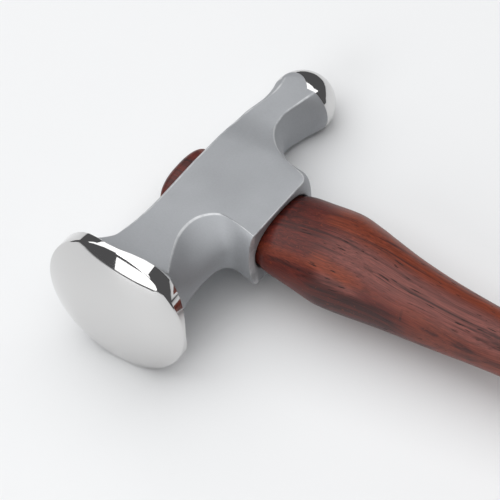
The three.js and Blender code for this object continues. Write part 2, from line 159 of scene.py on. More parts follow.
GRIP_SHARES = [(0.42, 0.31, 0.31), (0.76, 0.8, 0.8), (1, 1, 1)]
FLARE_SHARES = [
    (0, 0, 0), (0.2, 0.09, 0.27), (0.4, 0.22, 0.52), (0.6, 0.4, 0.73), (0.8, 0.65, 0.89), (1, 1, 1)]
CHEEK_FLARE_END_SHARE = 0.85
BALL_FLAT_START_SHARE = 0.15
BALL_FLAT_END_SHARE = 0.3
THROAT_SHARE = 0.5
NEAR_MOUTH_TRIM_SHARE = 0.0053125
CHEEK_FLARE_POWER = 1.9
CORNER_POWER = 1.5
OVAL_POWER = 2.35
BUTT_POWER = 2.5

# Border of the polish: at the flare, and round the ball, where it lies further along on the cheeks' flats
BALL_POLISH_SETBACK = 64.75
POLISH_FLAT_REACH = 2.85
POLISH_FLAT_DEPTH = 0.7
POLISH_CURVE = 0.156
POLISH_CURVE_OFFSET = -2.4
POLISH_BLUR = 0.08

# Finish of the head. Blots are sizes of noise along x, y and z, levels are heights of noise between which
# an effect comes in, and the other pairs are what it changes from and to
RIDGE = "ridge"
EVEN_LEVELS = (0.3, 0.7)
WIDE_LEVELS = (0.2, 0.8)
POLISH_COLOR = (0.68, 0.675, 0.67, 1)
SMEAR_BLOTS = (6, 6, 6)
SMEAR_LEVELS = (0.35, 0.75)
SMEAR_ROUGHNESS = (0.025, 0.06)
SATIN_COLOR = (0.47, 0.482, 0.5, 1)
SATIN_CLOUD_BLOTS = (16, 16, 16)
SATIN_CLOUD_TONES = (0.95, 1.06)
SATIN_GRAIN_BLOTS = (0.5, 0.18, 0.5)
SATIN_GRAIN_TONES = (0.95, 1.05)
SATIN_ROUGHNESS = (0.68, 0.76)
SATIN_BUMP = (0.5, 0.015)
# Ridge highlight: painted highlight, a lighter and smoother steel in spots along the rounded ridges and the
# mouth's near edge, standing for the bright lines that these edges catch
RIDGE_HIGHLIGHT_COLOR = (0.74, 0.75, 0.76, 1)
RIDGE_HIGHLIGHT_BLOTS = (2.5, 2.5, 2.5)
RIDGE_HIGHLIGHT_LEVELS = (0.3, 0.65)
RIDGE_HIGHLIGHT_SHARES = (0.2, 0.9)
RIDGE_HIGHLIGHT_SMOOTHER = -0.08

# Finish of the steel wedge
WEDGE_STEEL_COLORS = ((0.2, 0.19, 0.18, 1), (0.42, 0.42, 0.43, 1))
WEDGE_STEEL_BLOTS = (1.5, 1.5, 1.5)
WEDGE_STEEL_ROUGHNESS = (0.6, 0.38)
WEDGE_STEEL_BUMP = (0.3, 0.03)

# Wood: growth layers, streaks and fibres that wander a little off the straight grain, pores and warm specks
WANDER_SCALE = 0.03
WANDER_REACH = (0, 5, 5)
LAYER_BLOTS = (160, 4.5, 30)
LAYER_DARK_LEVELS = (0.3, 0.44)
LAYER_WARM_LEVELS = (0.56, 0.7)
LAYER_WARMTH = 0.6
STREAK_BLOTS = (60, 1.1, 3)
STREAK_TINT_LEVELS = (0.3, 0.55)
STREAK_TINT_SHARES = (0.35, 1.0)
STREAK_DARK_LEVELS = (0.5, 0.32)
STREAK_DARKNESS = 0.75
BREAK_BLOTS = (30, 0.7, 0.7)
BREAK_LEVELS = (0.42, 0.58)
BREAK_SHARES = (0.25, 1.0)
FIBRE_BLOTS = (7, 0.22, 0.22)
FIBRE_LEVELS = (0.25, 0.75)
FIBRE_TONES = (0.55, 1.4)
FIBRE_ROUGHNESS = (0.32, 0.46)
FIBRE_HEIGHT = 0.35
PATCH_BLOTS = (26, 4, 4)
SPECK_BLOTS = (0.7, 0.35, 0.35)
SPECK_LEVELS = (0.66, 0.74)
SPECK_PATCH_LEVELS = (0.6, 0.35)
SPECK_SHARES = (0.1, 0.85)
PORE_BLOTS = (3.6, 0.33, 0.33)
PORE_LEVELS = (0.68, 0.75)
PORE_PATCH_LEVELS = (0.35, 0.6)
PORE_SHARES = (0.15, 0.9)
PORE_BLACK = (0, 0, 0, 1)
PORE_BLACKNESS = 0.75
PORE_ROUGHER = 0.3
WOOD_BUMP = (0.35, 0.1)
WOOD_SPECULAR = 0.32
# Painted Sheen is a pale colour that stands for the handle's sheen
HANDLE_WOOD = {
    "Dark": (0.024, 0.008, 0.008, 1), "Middle": (0.1, 0.016, 0.011, 1),
    "Painted Sheen": (0.185, 0.056, 0.045, 1), "Warm": (0.2, 0.038, 0.015, 1), "Fineness": 1.0}
WEDGE_WOOD = {
    "Dark": (0.2, 0.11, 0.055, 1), "Middle": (0.38, 0.23, 0.12, 1),
    "Painted Sheen": (0.4, 0.26, 0.15, 1), "Warm": (0.45, 0.29, 0.16, 1), "Fineness": 1.6}

# Tints of the handle, among them painted sheen and painted shade. A stretch along x starts, is full, fades
# and ends. A band across has a middle and an outer and inner half width. A start along x, a side across and
# a rise along z give where each begins and is full, and a share is how strong a tint gets
# Painted sheen: a pale band along the middle of the swell and the neck, standing for the light that the
# handle's top reflects
MIDDLE_SHEEN_START = (26, 37)
MIDDLE_SHEEN_BAND = (-2.9, 5.0, 1.8)
MIDDLE_SHEEN_SHARE = 0.9
# Painted sheen: a pale patch low on the face side of the swell, standing for a highlight
SHEEN_STRETCH = (30, 34, 39, 45)
SHEEN_BAND = (-8.9, 1.4, 0.4)
SHEEN_RISE = (2.5, 4)
SHEEN_SHARE = 0.9
WARM_START = (24, 30)
WARM_SIDE = (-0.6, 2.2)
WARM_SHARE = 0.9
WARM_PATCH_STRETCH = (27, 31, 37, 44)
WARM_PATCH_BAND = (-7.2, 2.0, 0.6)
WARM_PATCH_RISE = (4, 5)
WARM_PATCH_SHARE = 0.8
LOW_BAND_START = (48, 56)
LOW_BAND_SIDE = (-4.8, -6.0)
LOW_BAND_SHARE = 0.45
# Painted shade low on the face side of the swell and the neck, where the handle turns away from the light
LOW_EDGE_SHADE_STRETCH = (27, 33, 48, 56)
LOW_EDGE_SHADE_SIDE = (-6.4, -7.8)
LOW_EDGE_SHADE_RISE = (4, 2)
LOW_EDGE_SHADE_SHARE = 0.8
# Painted shade on the handle next to the socket, on the side towards the ball
SOCKET_SHADE_STRETCH = (10, 14, 18, 25)
SOCKET_SHADE_SIDE = (-4.0, 0.0)
SOCKET_SHADE_SHARE = 0.75
SCRATCH_STRETCH = (51.0, 51.25, 51.55, 51.8)
SCRATCH_BAND = (-6.95, 0.8, 0.55)
SCRATCH_RISE = (1, 2)
SCRATCH_SHARE = 1.0

# Studio, in metres: each lamp's place, the point that it faces, its two sizes and its watts
BENCH_HALF_SIZE = 4
BENCH_COLOR = (0.83, 0.838, 0.845, 1)
BENCH_ROUGHNESS = 0.6
WORLD_COLOR = (0.105, 0.105, 0.108, 1)
LAMPS = {
    "overhead_softbox": ((-0.65, 0.2, 1.1), (-0.65, 0.2, 0), (2.7, 2.2), 28.8),
    "front_softbox": ((-0.2, -1.15, 0.16), (0, 0, 0.02), (0.62, 0.26), 0.9),
    "upper_softbox": ((-0.16, -1.02, 0.6), (0, 0, 0.02), (0.7, 0.5), 3)}

# Camera: its place in millimetres and its turns in degrees
CAMERA_PLACE = Vector((405.51, -497.41, 970.34))
CAMERA_TURN = (35.2582, 8.2105, 34.0404)
CAMERA_LENS = 426.0
CAMERA_SENSOR = 36
CAMERA_CLIP_START = 10

# Number of steps round and along
SIDE_STEPS = 22
CHEEK_STEPS = 12
CORNER_STEPS = 4
CROWN_STEPS = 24
EDGE_STEPS = 8
FLARE_STEPS = 14
FACE_SCOOP_STEPS = 64
MOUTH_STEPS = 10
BALL_SCOOP_STEPS = 54
BALL_STEPS = 20
OVAL_STEPS = 72
DOME_STEPS = 16
HANDLE_STEPS = 170
BUTT_STEPS = 24
LINE_SAMPLES = 600
SHARP_ANGLE = math.radians(38)

EDGE_DEPTH = EDGE_ROUND * math.sin(EDGE_TURN)
CROWN_RADIUS = FACE_RADIUS - EDGE_ROUND * (1 - math.cos(EDGE_TURN))
BACK_REACH = -(BACK_DEPTH + BACK_BULGE)
TOP_REACH = BACK_REACH - TENON_PROUD
EYE_TOP_SETBACK = EYE_SETBACK + EYE_TOP_LEAN
SOCKET_START = EYE_SETBACK - SOCKET_HALF_LENGTH
SOCKET_END = EYE_SETBACK + SOCKET_HALF_LENGTH
BALL_CHEEK_HALF_WIDTH = math.sqrt(BALL_RADIUS ** 2 - BALL_CHEEK_HALF_THICKNESS ** 2)

cad_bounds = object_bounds()


def mix(start, end, share):
    return start + (end - start) * share


def ease(share):
    return share * share * (3 - 2 * share)


def value_at(pairs, share):
    """Value at a share along a list of (share, value) pairs, eased between neighbours"""
    following = next(i for i in range(1, len(pairs)) if pairs[i][0] >= share)
    (from_share, from_value), (to_share, to_value) = pairs[following - 1:following + 1]
    return mix(from_value, to_value, ease((share - from_share) / (to_share - from_share)))


def curve_points(points, shares):
    """Points of the smooth curve through the given ones, at shares from 0 to 1 of its spans"""
    given = np.array(points, float)
    knots = np.vstack([2 * given[0] - given[1], given, 2 * given[-1] - given[-2]])
    gaps = np.sqrt(np.linalg.norm(np.diff(knots, axis=0), axis=1))
    run = np.asarray(shares) * (len(given) - 1)
    span = np.minimum(run.astype(int), len(given) - 2)
    a, b, c, d = (knots[span + i] for i in range(4))
    before, here, after = (gaps[span + i][:, None] for i in range(3))
    leaving = ((b - a) / before - (c - a) / (before + here) + (c - b) / here) * here
    arriving = ((c - b) / here - (d - b) / (here + after) + (d - c) / after) * here
    t = (run - span)[:, None]
    return mix(b, c, ease(t)) + t * (1 - t) ** 2 * leaving - t ** 2 * (1 - t) * arriving


def even_line(points):
    """A function that gives the point at a share of the length of the smooth line through the points"""
    dense = curve_points(points, np.linspace(0, 1, LINE_SAMPLES))
    lengths = np.concatenate([[0], np.cumsum(np.linalg.norm(np.diff(dense, axis=0), axis=1))])
    return lambda share: np.array([np.interp(share * lengths[-1], lengths, column) for column in dense.T])


def outline_points(shares, depths, setbacks):
    return [(mix(*depths, across), mix(*setbacks, along)) for across, along in shares]


def cheek_half_at(y):
    """Half thickness of the cheeks at a distance y behind the rim"""
    flare_end = mix(FLARE_SETBACK, SOCKET_START, CHEEK_FLARE_END_SHARE)
    if y < flare_end:
        share = (flare_end - y) / (flare_end - FLARE_SETBACK)
        return mix(SOCKET_HALF_THICKNESS, FLARE_HALF_THICKNESS, share ** CHEEK_FLARE_POWER)
    if y < BALL_NECK_SETBACK:
        share = max(0, y - SOCKET_END) / (BALL_NECK_SETBACK - SOCKET_END)
        return mix(SOCKET_HALF_THICKNESS, BALL_NECK_HALF_THICKNESS, ease(share))
    share = min(1, (y - BALL_NECK_SETBACK) / (BALL_SETBACK - BALL_NECK_SETBACK))
    return mix(BALL_NECK_HALF_THICKNESS, BALL_CHEEK_HALF_THICKNESS, ease(share))


def side_run(edge, middle, half, count, steep=0, full=0):
    """Points down a side that bulges from its edge to its middle line, short of the corners by their
    rounding. The bulge is a round arc, or steeper beside the cheeks as steep nears 1, or half an oval as
    full nears 1"""
    bulge = np.linalg.norm(middle - edge)
    if bulge == 0:
        trim = 1 - CORNER_ROUND / half
        return np.array([(*edge, half * share) for share in np.linspace(trim, -trim, count)])
    radius = (half ** 2 + bulge ** 2) / (2 * bulge)
    narrow = math.asin(min(1, half / radius))
    span = math.pi - narrow if bulge > half else narrow
    trim = 1 - CORNER_ROUND / (radius * span)
    run = []
    for share in np.linspace(trim, -trim, count):
        out = (math.cos(span * share) - math.cos(span)) / (1 - math.cos(span))
        out = mix(out, 1 - abs(share) ** FACE_SCOOP_POWER, steep)
        z = mix(radius * math.sin(span * share), half * share, steep)
        out = mix(out, math.cos(math.pi / 2 * share), full)
        z = mix(z, half * math.sin(math.pi / 2 * share), full)
        run.append((*mix(edge, middle, out), z))
    return np.array(run)


def corner_run(before, corner, after):
    """Points between two others round a corner, without either of them"""
    shares = np.linspace(0, 1, CORNER_STEPS + 1)[1:-1, None]
    return (1 - shares) ** 2 * before + 2 * shares * (1 - shares) * corner + shares ** 2 * after


def head_ring(back_edge, back_middle, front_edge, front_middle, steep=0, full=0):
    """A ring round the head: down the back, under the lower cheek, up the handle side, over the upper"""
    back_half = cheek_half_at(back_edge[1])
    front_half = cheek_half_at(front_edge[1])
    back = side_run(back_edge, back_middle, back_half, SIDE_STEPS)
    front = side_run(front_edge, front_middle, front_half, SIDE_STEPS, steep, full)[::-1]
    width = np.linalg.norm(front_edge - back_edge)
    trims = np.linspace(CORNER_ROUND / width, 1 - CORNER_ROUND / width, CHEEK_STEPS)
    cheek = np.array([(*mix(back_edge, front_edge, s), mix(back_half, front_half, s)) for s in trims])
    lower = cheek * (1, 1, -1)
    upper = cheek[::-1]
    corner = lambda edge, half: np.array((*edge, half))
    return np.vstack([
        back, corner_run(back[-1], corner(back_edge, -back_half), lower[0]),
        lower, corner_run(lower[-1], corner(front_edge, -front_half), front[0]),
        front, corner_run(front[-1], corner(front_edge, front_half), upper[0]),
        upper, corner_run(upper[-1], corner(back_edge, back_half), back[0])])


def face_side_ring():
    """A function that gives the ring at a share of the way from the flare to the mouth's near corner"""
    setbacks = (FLARE_SETBACK, SOCKET_START)
    edge_depths = (FACE_SCOOP_DEPTH, FLARE_HALF_WIDTH)
    wall_depths = (FACE_SCOOP_DEPTH, SOCKET_REACH)
    edge = even_line(outline_points(FACE_NECK_SHARES, edge_depths, setbacks)
                     + outline_points(FACE_WALL_SHARES, wall_depths, setbacks))
    flare_middle = FLARE_HALF_WIDTH + FLARE_SIDE_BULGE
    middle = even_line(
        [(flare_middle, FLARE_SETBACK)]
        + outline_points(FACE_NECK_MIDDLE_SHARES, (FACE_SCOOP_MIDDLE_DEPTH, flare_middle), setbacks)
        + outline_points(FACE_WALL_MIDDLE_SHARES, (FACE_SCOOP_MIDDLE_DEPTH, SOCKET_REACH), setbacks)
        + [(SOCKET_REACH, SOCKET_START - SOCKET_SIDE_BULGE)])
    rear = even_line(outline_points(
        BACK_FACE_SHARES, (-BACK_DEPTH, -FLARE_HALF_WIDTH), (FLARE_SETBACK, SOCKET_START + BACK_SPREAD)))
    bulges = [(0, FLARE_SIDE_BULGE), (THROAT_SHARE, BACK_BULGE), (1, BACK_BULGE)]

    def ring(share):
        bulge = np.array((value_at(bulges, share), 0))
        forms = (value_at(STEEP_SHARES, share), value_at(FULL_SHARES, share))
        return head_ring(rear(share), rear(share) - bulge, edge(share), middle(share), *forms)
    return ring


def mouth_ring(share):
    """The ring at a share of the way across the flat mouth of the socket"""
    rear = np.array((-BACK_DEPTH, mix(SOCKET_START + BACK_SPREAD, SOCKET_END - BACK_SPREAD, share)))
    corner = np.array((SOCKET_REACH, mix(SOCKET_START, SOCKET_END, share)))
    return head_ring(rear, rear - np.array((BACK_BULGE, 0)), corner, corner)


def ball_side_ring():
    """A function that gives the ring at a share of the way from the mouth's far corner to the ball"""
    setbacks = (SOCKET_END, BALL_SETBACK)
    edge = even_line(
        outline_points(BALL_WALL_SHARES, (BALL_SCOOP_DEPTH, SOCKET_REACH), setbacks)
        + outline_points(BALL_NECK_SHARES, (BALL_SCOOP_DEPTH, BALL_CHEEK_HALF_WIDTH), setbacks))
    middle = even_line(
        [(SOCKET_REACH, SOCKET_END + SOCKET_SIDE_BULGE)]
        + outline_points(BALL_WALL_MIDDLE_SHARES, (BALL_SCOOP_MIDDLE_DEPTH, SOCKET_REACH), setbacks)
        + outline_points(BALL_NECK_MIDDLE_SHARES, (BALL_SCOOP_MIDDLE_DEPTH, BALL_RADIUS), setbacks)
        + [(BALL_RADIUS, BALL_SETBACK)])
    rear = even_line(outline_points(
        BACK_BALL_SHARES, (-BACK_DEPTH, -BALL_CHEEK_HALF_WIDTH), (SOCKET_END - BACK_SPREAD, BALL_SETBACK)))
    end_bulge = BALL_RADIUS - BALL_CHEEK_HALF_WIDTH
    bulges = [(0, BACK_BULGE), (THROAT_SHARE, BALL_NECK_BACK_BULGE), (1, end_bulge)]

    def ring(share):
        bulge = np.array((value_at(bulges, share), 0))
        forms = (0, value_at(FAR_FULL_SHARES, share))
        return head_ring(rear(share), rear(share) - bulge, edge(share), middle(share), *forms)
    return ring


def body_rings():
    """Rings from the flare to the middle of the ball, with the mouth's two corners rounded"""
    face_side = face_side_ring()
    ball_side = ball_side_ring()
    mouth_trim = CORNER_ROUND / (2 * SOCKET_HALF_LENGTH)
    far_trim = FAR_MOUTH_ROUND / (2 * SOCKET_HALF_LENGTH)
    ball_trim = FAR_MOUTH_ROUND / (BALL_SETBACK - SOCKET_END)
    near = [face_side(1 - NEAR_MOUTH_TRIM_SHARE), face_side(1), mouth_ring(mouth_trim)]
    far = [mouth_ring(1 - far_trim), ball_side(0), ball_side(ball_trim)]
    shares = np.linspace(0, 1, CORNER_STEPS + 1)[1:-1]
    rounded = lambda a, b, c: [(1 - s) ** 2 * a + 2 * s * (1 - s) * b + s ** 2 * c for s in shares]
    scoop = [face_side(s) for s in np.linspace(0, 1 - NEAR_MOUTH_TRIM_SHARE, FACE_SCOOP_STEPS)]
    return [
        *scoop, *rounded(*near),
        *[mouth_ring(s) for s in np.linspace(mouth_trim, 1 - far_trim, MOUTH_STEPS)], *rounded(*far),
        *[ball_side(s) for s in np.linspace(ball_trim, 1, BALL_SCOOP_STEPS)]]


def ball_rings(last_ring):
    """The far half of the ball, with the flats of the cheeks running out on it"""
    bearings = np.arctan2(last_ring[:, 2], last_ring[:, 0])
    rings = []
    for step in range(1, BALL_STEPS):
        angle = math.pi / 2 * step / BALL_STEPS
        radius = BALL_RADIUS * math.cos(angle)
        ring = np.column_stack([
            radius * np.cos(bearings),
            np.full(len(bearings), BALL_SETBACK + BALL_RADIUS * math.sin(angle)),
            radius * np.sin(bearings)])
        share = BALL_FLAT_START_SHARE + step / (BALL_STEPS * BALL_FLAT_END_SHARE)
        soft = BALL_FLAT_ROUND * ease(min(1, share))
        over = np.abs(ring[:, 2]) - BALL_CHEEK_HALF_THICKNESS
        ring[:, 2] -= np.sign(ring[:, 2]) * soft * np.logaddexp(0, over / soft)
        rings.append(ring)
    return rings


def face_rings(body_ring):
    """From the crown of the face, over the rounded rim, down the flare to the body"""
    bearings = np.arctan2(body_ring[:, 2], body_ring[:, 0])
    corners = np.abs(np.sin(2 * bearings)) ** CORNER_POWER
    circle = lambda radius, y: np.column_stack([
        radius * np.cos(bearings), np.full(len(bearings), y), radius * np.sin(bearings)])
    rings = []
    for share in np.linspace(0, 1, CROWN_STEPS + 1)[1:]:
        rings.append(circle(CROWN_RADIUS * share, -EDGE_DEPTH - CROWN_HEIGHT * (1 - share ** CROWN_POWER)))
    for turn in np.linspace(EDGE_TURN, 0, EDGE_STEPS + 1)[1:]:
        inset = EDGE_ROUND * (1 - math.cos(turn))
        rings.append(circle(FACE_RADIUS - inset, -EDGE_ROUND * math.sin(turn)))
    rim = circle(FACE_RADIUS, 0)
    rim[:, 1] = mix(RIM_WIDTH, RIM_CORNER_WIDTH, corners)
    for along, hollow, corner in curve_points(FLARE_SHARES, np.linspace(1, 0, FLARE_STEPS + 1))[:-1]:
        outward = mix(hollow, corner, corners)[:, None]
        ring = mix(body_ring, rim, outward)
        ring[:, 1] = mix(body_ring[:, 1], rim[:, 1], along)
        rings.append(ring)
    return rings


def loft(first_tip, rings, last_tip, on_ridge=None):
    """A closed skin over rings of as many points each: a grid wrapped round them, its ends drawn to tips"""
    count = len(rings[0])
    rows = [np.tile(first_tip, (count, 1)), *rings, np.tile(last_tip, (count, 1))]
    mesh = bmesh.new()
    bmesh.ops.create_grid(mesh, x_segments=count, y_segments=len(rows) - 1, size=1)
    marks = mesh.verts.layers.float.new(RIDGE)
    for vert in mesh.verts:
        column = round((vert.co.x + 1) / 2 * count)
        row = round((vert.co.y + 1) / 2 * (len(rows) - 1))
        vert.co = rows[row][column % count]
        vert[marks] = bool(on_ridge and on_ridge(row - 1, column % count))
    bmesh.ops.remove_doubles(mesh, verts=mesh.verts, dist=MERGE_DISTANCE)
    bmesh.ops.recalc_face_normals(mesh, faces=mesh.faces)
    return mesh


def piece_from(name, mesh):
    """An object from a bmesh in the hammer's own millimetres, laid down where the solids lie"""
    place = Matrix.Scale(MM, 4) @ Matrix.Translation(REST_PLACE) @ REST_TURN.to_matrix().to_4x4()
    bmesh.ops.transform(mesh, matrix=place, verts=mesh.verts)
    data = bpy.data.meshes.new(name)
    mesh.to_mesh(data)
    mesh.free()
    piece = bpy.data.objects.new(name, data)
    bpy.context.scene.collection.objects.link(piece)
    return piece


def carve(piece, cutter, operation):
    """Cuts a piece by another, or keeps what is inside it"""
    boolean = piece.modifiers.new("carve", 'BOOLEAN')
    boolean.operation = operation
    boolean.object = cutter
    boolean.solver = 'EXACT'
    bpy.context.view_layer.update()
    evaluated = piece.evaluated_get(bpy.context.evaluated_depsgraph_get())
    carved = bpy.data.meshes.new_from_object(evaluated)
    uncut = piece.data
    piece.modifiers.clear()
    piece.data = carved
    bpy.data.meshes.remove(uncut)


def finish_piece(piece, material, node):
    piece.data.materials.clear()
    piece.data.materials.append(material)
    piece.data.shade_smooth()
    piece.data.set_sharp_from_angle(angle=SHARP_ANGLE)
    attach(piece, "root")
    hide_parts(node)


def oval(x, half_width, half_depth, middle):
    """An oval across the handle at a distance x along it"""
    angles = np.linspace(0, 2 * math.pi, OVAL_STEPS, endpoint=False)
    rounded = lambda wave: np.sign(wave) * np.abs(wave) ** (2 / OVAL_POWER)
    return np.column_stack([
        np.full(OVAL_STEPS, x),
        middle + half_width * rounded(np.cos(angles)),
        half_depth * rounded(np.sin(angles))])


def eye_cutter():
    top = (EYE_TOP_HALF_LENGTH, EYE_TOP_HALF_THICKNESS, EYE_TOP_SETBACK)
    mouth_reach, mouth_length, mouth_thickness = EYE_MOUTH
    rings = [oval(BACK_REACH - OVERRUN, *top), oval(BACK_REACH, *top), oval(*EYE_WAIST, EYE_SETBACK)]
    for turn in np.linspace(0, math.pi / 2, CORNER_STEPS + 1):
        wider = EYE_ROUND * (1 - math.cos(turn))
        reach = mouth_reach - EYE_ROUND * (1 - math.sin(turn))
        rings.append(oval(reach, mouth_length + wider, mouth_thickness + wider, EYE_SETBACK))
    wide = (mouth_length + EYE_ROUND, mouth_thickness + EYE_ROUND)
    rings.append(oval(mouth_reach + OVERRUN, *wide, EYE_SETBACK))
    start = (BACK_REACH - OVERRUN, EYE_TOP_SETBACK, 0)
    end = (mouth_reach + OVERRUN, EYE_SETBACK, 0)
    return piece_from("eye_cutter", loft(start, rings, end))


def corner_starts():
    """The first column of each of the four rounded corners in a ring round the head"""
    spans = (SIDE_STEPS, CHEEK_STEPS, SIDE_STEPS, CHEEK_STEPS)
    return [sum(spans[:i + 1]) + i * (CORNER_STEPS - 1) for i in range(len(spans))]


def make_head(material):
    body = body_rings()
    rings = [*face_rings(body[0]), *body, *ball_rings(body[-1])]
    face_tip = (0, -EDGE_DEPTH - CROWN_HEIGHT, 0)
    ball_tip = (0, BALL_SETBACK + BALL_RADIUS, 0)
    corner_columns = {start + step for start in corner_starts() for step in range(CORNER_STEPS - 1)}
    front_columns = range(corner_starts()[1], corner_starts()[2] + CORNER_STEPS - 1)
    mouth_start = len(rings) - len(body) - (BALL_STEPS - 1) + FACE_SCOOP_STEPS
    mouth_rows = range(mouth_start, mouth_start + CORNER_STEPS - 1)
    last_row = len(rings) - BALL_STEPS

    # The ridge marks say where the painted highlight goes: the rounded ridges and the mouth's near edge
    def is_ridge(row, column):
        on_corner = column in corner_columns and row < last_row
        return on_corner or (row in mouth_rows and column in front_columns)
    head = piece_from("hammer_head", loft(face_tip, rings, ball_tip, is_ridge))
    cutter = eye_cutter()
    carve(head, cutter, 'DIFFERENCE')
    bpy.data.objects.remove(cutter)
    finish_piece(head, material, "head")


def lean_at(x):
    return HANDLE_LEAN * ease(min(1, (x - SOCKET_REACH) / (LEAN_REACH - SOCKET_REACH)))


def handle_rings():
    rings = []
    for turn in np.linspace(0, math.pi / 2, DOME_STEPS + 1)[1:]:
        x = TOP_REACH + TENON_DOME_HEIGHT * (1 - math.cos(turn))
        half_length = (EYE_TOP_HALF_LENGTH - FIT_GAP) * math.sin(turn)
        half_thickness = (EYE_TOP_HALF_THICKNESS - FIT_GAP) * math.sin(turn)
        rings.append(oval(x, half_length, half_thickness, EYE_TOP_SETBACK))
    fitted = lambda section: (section[0], section[1] - FIT_GAP, section[2] - FIT_GAP)
    rings.append(oval(*fitted(EYE_WAIST), EYE_SETBACK))
    sections = []
    stretches = [(fitted(EYE_MOUTH), SWELL, SWELL_SHARES), (SWELL, NECK, NECK_SHARES),
                 (NECK, SLENDER, SLENDER_SHARES), (SLENDER, GRIP, GRIP_SHARES)]
    for start, end, shares in stretches:
        sections += [[mix(*pair) for pair in zip(start, end, share)] for share in shares]
    for x, half_width, half_depth in curve_points(sections, np.linspace(0, 1, HANDLE_STEPS + 1)):
        rings.append(oval(x, half_width, half_depth, EYE_SETBACK - lean_at(x)))
    grip_reach, grip_half_width, grip_half_depth = GRIP
    for turn in np.linspace(0, math.pi / 2, BUTT_STEPS + 1)[1:-1]:
        x = mix(grip_reach, BUTT_REACH, math.sin(turn) ** (2 / BUTT_POWER))
        share = math.cos(turn) ** (2 / BUTT_POWER)
        rings.append(oval(x, grip_half_width * share, grip_half_depth * share, EYE_SETBACK - HANDLE_LEAN))
    return rings


def whole_handle(name):
    top = (TOP_REACH, EYE_TOP_SETBACK, 0)
    butt = (BUTT_REACH, EYE_SETBACK - HANDLE_LEAN, 0)
    return piece_from(name, loft(top, handle_rings(), butt))


def wedge_blank(name, tip_reach, top_half, tip_half):
    """A tapering block in the tenon's end, its half sizes along y and z given for the top and the tip"""
    mesh = bmesh.new()
    bmesh.ops.create_cube(mesh, size=2)
    bmesh.ops.subdivide_edges(
        mesh, edges=[e for e in mesh.edges if abs(e.verts[0].co.x - e.verts[1].co.x) > 1], cuts=1)
    reaches = {-1: TOP_REACH - OVERRUN, 0: TOP_REACH, 1: tip_reach}
    for vert in mesh.verts:
        across, through = tip_half if vert.co.x > 0 else top_half
        y = EYE_TOP_SETBACK + math.copysign(across, vert.co.y)
        vert.co = (reaches[round(vert.co.x)], y, math.copysign(through, vert.co.z))
    return piece_from(name, mesh)


def wood_wedge_blank(gap):
    width = EYE_TOP_HALF_LENGTH + OVERRUN
    tip_reach = TOP_REACH + WOOD_WEDGE_DEPTH + gap
    top_half, tip_half = (width, WOOD_WEDGE_THICKNESS / 2 + gap), (width, WOOD_WEDGE_TIP / 2 + gap)
    return wedge_blank("wood_wedge_blank", tip_reach, top_half, tip_half)


def steel_wedge_blank(gap):
    width = STEEL_WEDGE_WIDTH / 2 + gap
    tip_reach = TOP_REACH + STEEL_WEDGE_DEPTH + gap
    top_half, tip_half = (STEEL_WEDGE_THICKNESS / 2 + gap, width), (STEEL_WEDGE_TIP / 2 + gap, width)
    return wedge_blank("steel_wedge_blank", tip_reach, top_half, tip_half)


def make_handle_and_wedges(wood, wedge_wood, wedge_steel):
    kerf = wood_wedge_blank(FIT_GAP)
    slot = steel_wedge_blank(FIT_GAP)
    wood_blank = wood_wedge_blank(0)
    steel_blank = steel_wedge_blank(0)
    handle = whole_handle("hammer_handle")
    carve(handle, kerf, 'DIFFERENCE')
    carve(handle, slot, 'DIFFERENCE')
    finish_piece(handle, wood, "handle")
    wooden = whole_handle("wedge_of_wood")
    carve(wooden, wood_blank, 'INTERSECT')
    carve(wooden, slot, 'DIFFERENCE')
    finish_piece(wooden, wedge_wood, "wooden_wedge")
    steel = whole_handle("wedge_of_steel")
    carve(steel, steel_blank, 'INTERSECT')
    finish_piece(steel, wedge_steel, "steel_wedge")
    for blank in (kerf, slot, wood_blank, steel_blank):
        bpy.data.objects.remove(blank)


